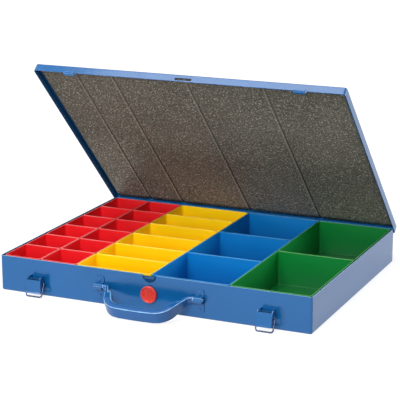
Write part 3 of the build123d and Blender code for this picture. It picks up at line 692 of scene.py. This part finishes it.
def foam_material():
    """Open-cell foam: dark pores, painted glints, painted shade and highlight at the grooves,
    painted light near the hinge, and a matt, fuzzy skin.
    """
    material, tree, shader, place = new_material("lining foam")
    clouds = noise(tree, place, scale=12.0, detail=3.0)
    tone = mottled(tree, clouds, chip(93, 91, 82), chip(107, 104, 94))
    pores = noise(tree, place, scale=430.0, detail=3.0, roughness=0.75)
    dark = ramp(tree, pores, ((0.36, grey(0.35)), (0.52, WHITE)))
    tone = blended(tree, 1.0, tone, dark, "MULTIPLY")
    # painted highlight: pale glints where cut cell walls would face the light
    sparks = noise(tree, place, scale=480.0, detail=2.0, roughness=0.6)
    painted_glints = ramp(tree, sparks, ((0.57, BLACK), (0.66, WHITE)))
    tone = blended(tree, painted_glints, tone, chip(170, 168, 158))
    # painted highlight on the side of each groove that faces the light
    lit = blended(tree, 0.35, tone, chip(176, 172, 160))
    tone = blended(tree, beside_line(tree, place, LIT_SIDE, LIT_NEAR, LIT_FAR), lit, tone)
    # painted shade down in each groove, fading higher up the lid
    far_up = climb(tree, place, GROOVE_SHADE_FADES_FROM, GROOVE_SHADE_GONE_AT)
    groove_shade = blended(tree, far_up, chip(44, 42, 38), chip(84, 81, 74))
    tone = blended(tree, beside_line(tree, place, 0.0, GROOVE_NEAR, GROOVE_FAR), groove_shade, tone)
    # painted light: the foam near the hinge made lighter
    hinge_light_share = climb(tree, place, HINGE_LIGHT_GONE_ABOVE, HINGE_LIGHT_FULL_BELOW)
    tone = blended(tree, hinge_light_share, tone, blended(tree, 1.0, tone, HINGE_LIGHT, "MULTIPLY"))
    tree.links.new(tone, shader.inputs["Base Color"])
    shader.inputs["Roughness"].default_value = 0.95
    shader.inputs["Specular IOR Level"].default_value = 0.15
    bump(tree, shader, pores, strength=0.6, distance=0.0006)
    return material


foam.data.materials.append(foam_material())
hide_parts("foam_lining")
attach(foam, "lid")
print("foam sheet in the lid")

# %% [markdown]
# ## Camera
# The picture was taken a little above the case and from its front right. The camera stands well
# back with a long lens, so the lines of the tray hardly converge.

# %% Camera
CAMERA_PLACE = (0.80237, -1.78392, 0.62328)
AZIMUTH = math.radians(24.326)
ELEVATION = math.radians(14.801)
ROLL = math.radians(-0.143)
LENS_PIXELS, FRAME_PIXELS = 1497.48, 400
SENSOR_MM = 36.0
SEES_AS_FAR_AS = 20.0
ahead = Vector(
    (
        -math.sin(AZIMUTH) * math.cos(ELEVATION),
        math.cos(AZIMUTH) * math.cos(ELEVATION),
        -math.sin(ELEVATION),
    )
)
level = Vector((math.cos(AZIMUTH), math.sin(AZIMUTH), 0.0))
upright = level.cross(ahead)
right = level * math.cos(ROLL) + upright * math.sin(ROLL)
up = upright * math.cos(ROLL) - level * math.sin(ROLL)
lens = bpy.data.cameras.new("camera")
lens.sensor_width = SENSOR_MM
lens.lens = LENS_PIXELS / FRAME_PIXELS * SENSOR_MM
lens.clip_end = SEES_AS_FAR_AS
camera = bpy.data.objects.new("camera", lens)
turn = Matrix((right, up, -ahead)).transposed().to_4x4()
camera.matrix_world = Matrix.Translation(CAMERA_PLACE) @ turn
bpy.context.scene.collection.objects.link(camera)
bpy.context.scene.camera = camera
print("lens:", round(lens.lens, 1), "mm")

# %% [markdown]
# ## White surroundings
# The picture was taken on a white table in a white room. White that only the camera and mirrored
# rays see makes that background and shows in paint and metal, and a faint even light stands for
# what the room scatters. So a whiter background doesn't brighten the case.

# %% World
bpy.context.scene.view_settings.view_transform = "Standard"
AMBIENT = 0.12
world = bpy.data.worlds.new("studio")
bpy.context.scene.world = world
world.use_nodes = True


def seen_directly(tree):
    """1 for the rays of the camera, of mirrors and of glass, and 0 for rays that light things."""
    path = tree.nodes.new("ShaderNodeLightPath")
    total = path.outputs["Is Camera Ray"]
    for kind in ("Is Glossy Ray", "Is Transmission Ray"):
        total = calculated(tree, "MAXIMUM", total, path.outputs[kind])
    return total


sky = world.node_tree
ambient = sky.nodes["Background"]
ambient.inputs["Color"].default_value = WHITE
ambient.inputs["Strength"].default_value = AMBIENT
white = sky.nodes.new("ShaderNodeBackground")
white.inputs["Color"].default_value = WHITE
white.inputs["Strength"].default_value = 1.0
choose = sky.nodes.new("ShaderNodeMixShader")
sky.links.new(seen_directly(sky), choose.inputs["Fac"])
sky.links.new(ambient.outputs[0], choose.inputs[1])
sky.links.new(white.outputs[0], choose.inputs[2])
sky.links.new(choose.outputs[0], sky.nodes["World Output"].inputs["Surface"])
print("white surroundings, ambient light", AMBIENT)

# %% [markdown]
# ## Table
# The table is one wide grid. To the rays that light things it is plain grey, so it throws only a
# little light up at the case. To the camera and to mirrors it glows as well, a little less near
# the case, where its soft shadow shows, and fully white further off, where it meets the
# surroundings without a line. It casts no shadow itself, so a lamp may shine from below it.

# %% Table
TABLE_HALF_WIDTH = 9.0
TABLE_GREY, TABLE_WHITE = 0.34, 0.80
GLOW_NEAR, GLOW_FAR = 0.35, 0.9
JUST_BELOW = -0.0002
table_mesh = bmesh.new()
bmesh.ops.create_grid(table_mesh, x_segments=1, y_segments=1, size=TABLE_HALF_WIDTH)
table_data = bpy.data.meshes.new("floor")
table_mesh.to_mesh(table_data)
table_mesh.free()
floor = bpy.data.objects.new("floor", table_data)
floor.location = (0.0, 0.0, JUST_BELOW)
floor.visible_shadow = False
bpy.context.scene.collection.objects.link(floor)
print("table", 2 * TABLE_HALF_WIDTH, "m across")


# %% Table finish
def table_material():
    """A matt grey that glows white for the camera and for mirrors, more so further away."""
    material, tree, shader, place = new_material("white table")
    shader.inputs["Base Color"].default_value = grey(TABLE_GREY)
    shader.inputs["Roughness"].default_value = 0.9
    shader.inputs["Specular IOR Level"].default_value = 0.0
    distance = tree.nodes.new("ShaderNodeVectorMath")
    distance.operation = "LENGTH"
    tree.links.new(place, distance.inputs[0])
    reach = spread(tree, distance.outputs["Value"], GLOW_NEAR, GLOW_FAR, TABLE_WHITE, 1.0)
    glow = tree.nodes.new("ShaderNodeEmission")
    tree.links.new(reach, glow.inputs["Strength"])
    glowing = tree.nodes.new("ShaderNodeAddShader")
    tree.links.new(shader.outputs[0], glowing.inputs[0])
    tree.links.new(glow.outputs[0], glowing.inputs[1])
    chosen = tree.nodes.new("ShaderNodeMixShader")
    tree.links.new(seen_directly(tree), chosen.inputs["Fac"])
    tree.links.new(shader.outputs[0], chosen.inputs[1])
    tree.links.new(glowing.outputs[0], chosen.inputs[2])
    tree.links.new(chosen.outputs[0], tree.nodes["Material Output"].inputs["Surface"])
    return material


floor.data.materials.append(table_material())
print("table glows from", TABLE_WHITE, "near the case to 1.0 beyond", GLOW_FAR, "m")

# %% [markdown]
# ## Lamps
# Six soft lamps light the case. One hangs overhead, where the lip of the lid mirrors it. One
# stands high in front and well back, so that the front and the rear bins get nearly the same
# light. Two shine from low on the left and throw the shadows of the latches and of the handle to
# the right and a little upwards. The lower of these stands for light that the white table throws
# back, so gloss doesn't mirror it. Two on the right light the side wall and its edges.


# %% Lamps
def lamp(name, place, aim, size, watts, in_gloss=True):
    """A square soft lamp that shines from a place at a point; gloss may or may not mirror it."""
    light = bpy.data.lights.new(name, "AREA")
    light.shape = "SQUARE"
    light.size = size
    light.energy = watts
    holder = bpy.data.objects.new(name, light)
    holder.location = place
    holder.visible_glossy = in_gloss
    holder.rotation_euler = (Vector(aim) - Vector(place)).to_track_quat("-Z", "Y").to_euler()
    bpy.context.scene.collection.objects.link(holder)
    print(name, "lamp:", watts, "W")


CASE_MIDDLE = (0.0, 0.0, 0.05)
lamp("overhead", (-0.35, -0.5, 1.9), CASE_MIDDLE, size=1.2, watts=21.0)
lamp("high front", (0.15, -2.7, 1.75), CASE_MIDDLE, size=1.6, watts=72.0)
lamp("left front", (-1.0, -1.85, 0.2), (0.0, 0.0, 0.1), size=0.5, watts=5.0)
lamp("low front", (-1.0, -1.8, -0.75), (0.0, -0.1, 0.08), size=0.4, watts=16.0, in_gloss=False)
lamp("right fill", (1.9, 0.35, 0.6), CASE_MIDDLE, size=1.0, watts=8.0)
lamp("right back", (1.8, 0.9, 0.35), (0.0, 0.0, 0.03), size=0.8, watts=18.0)
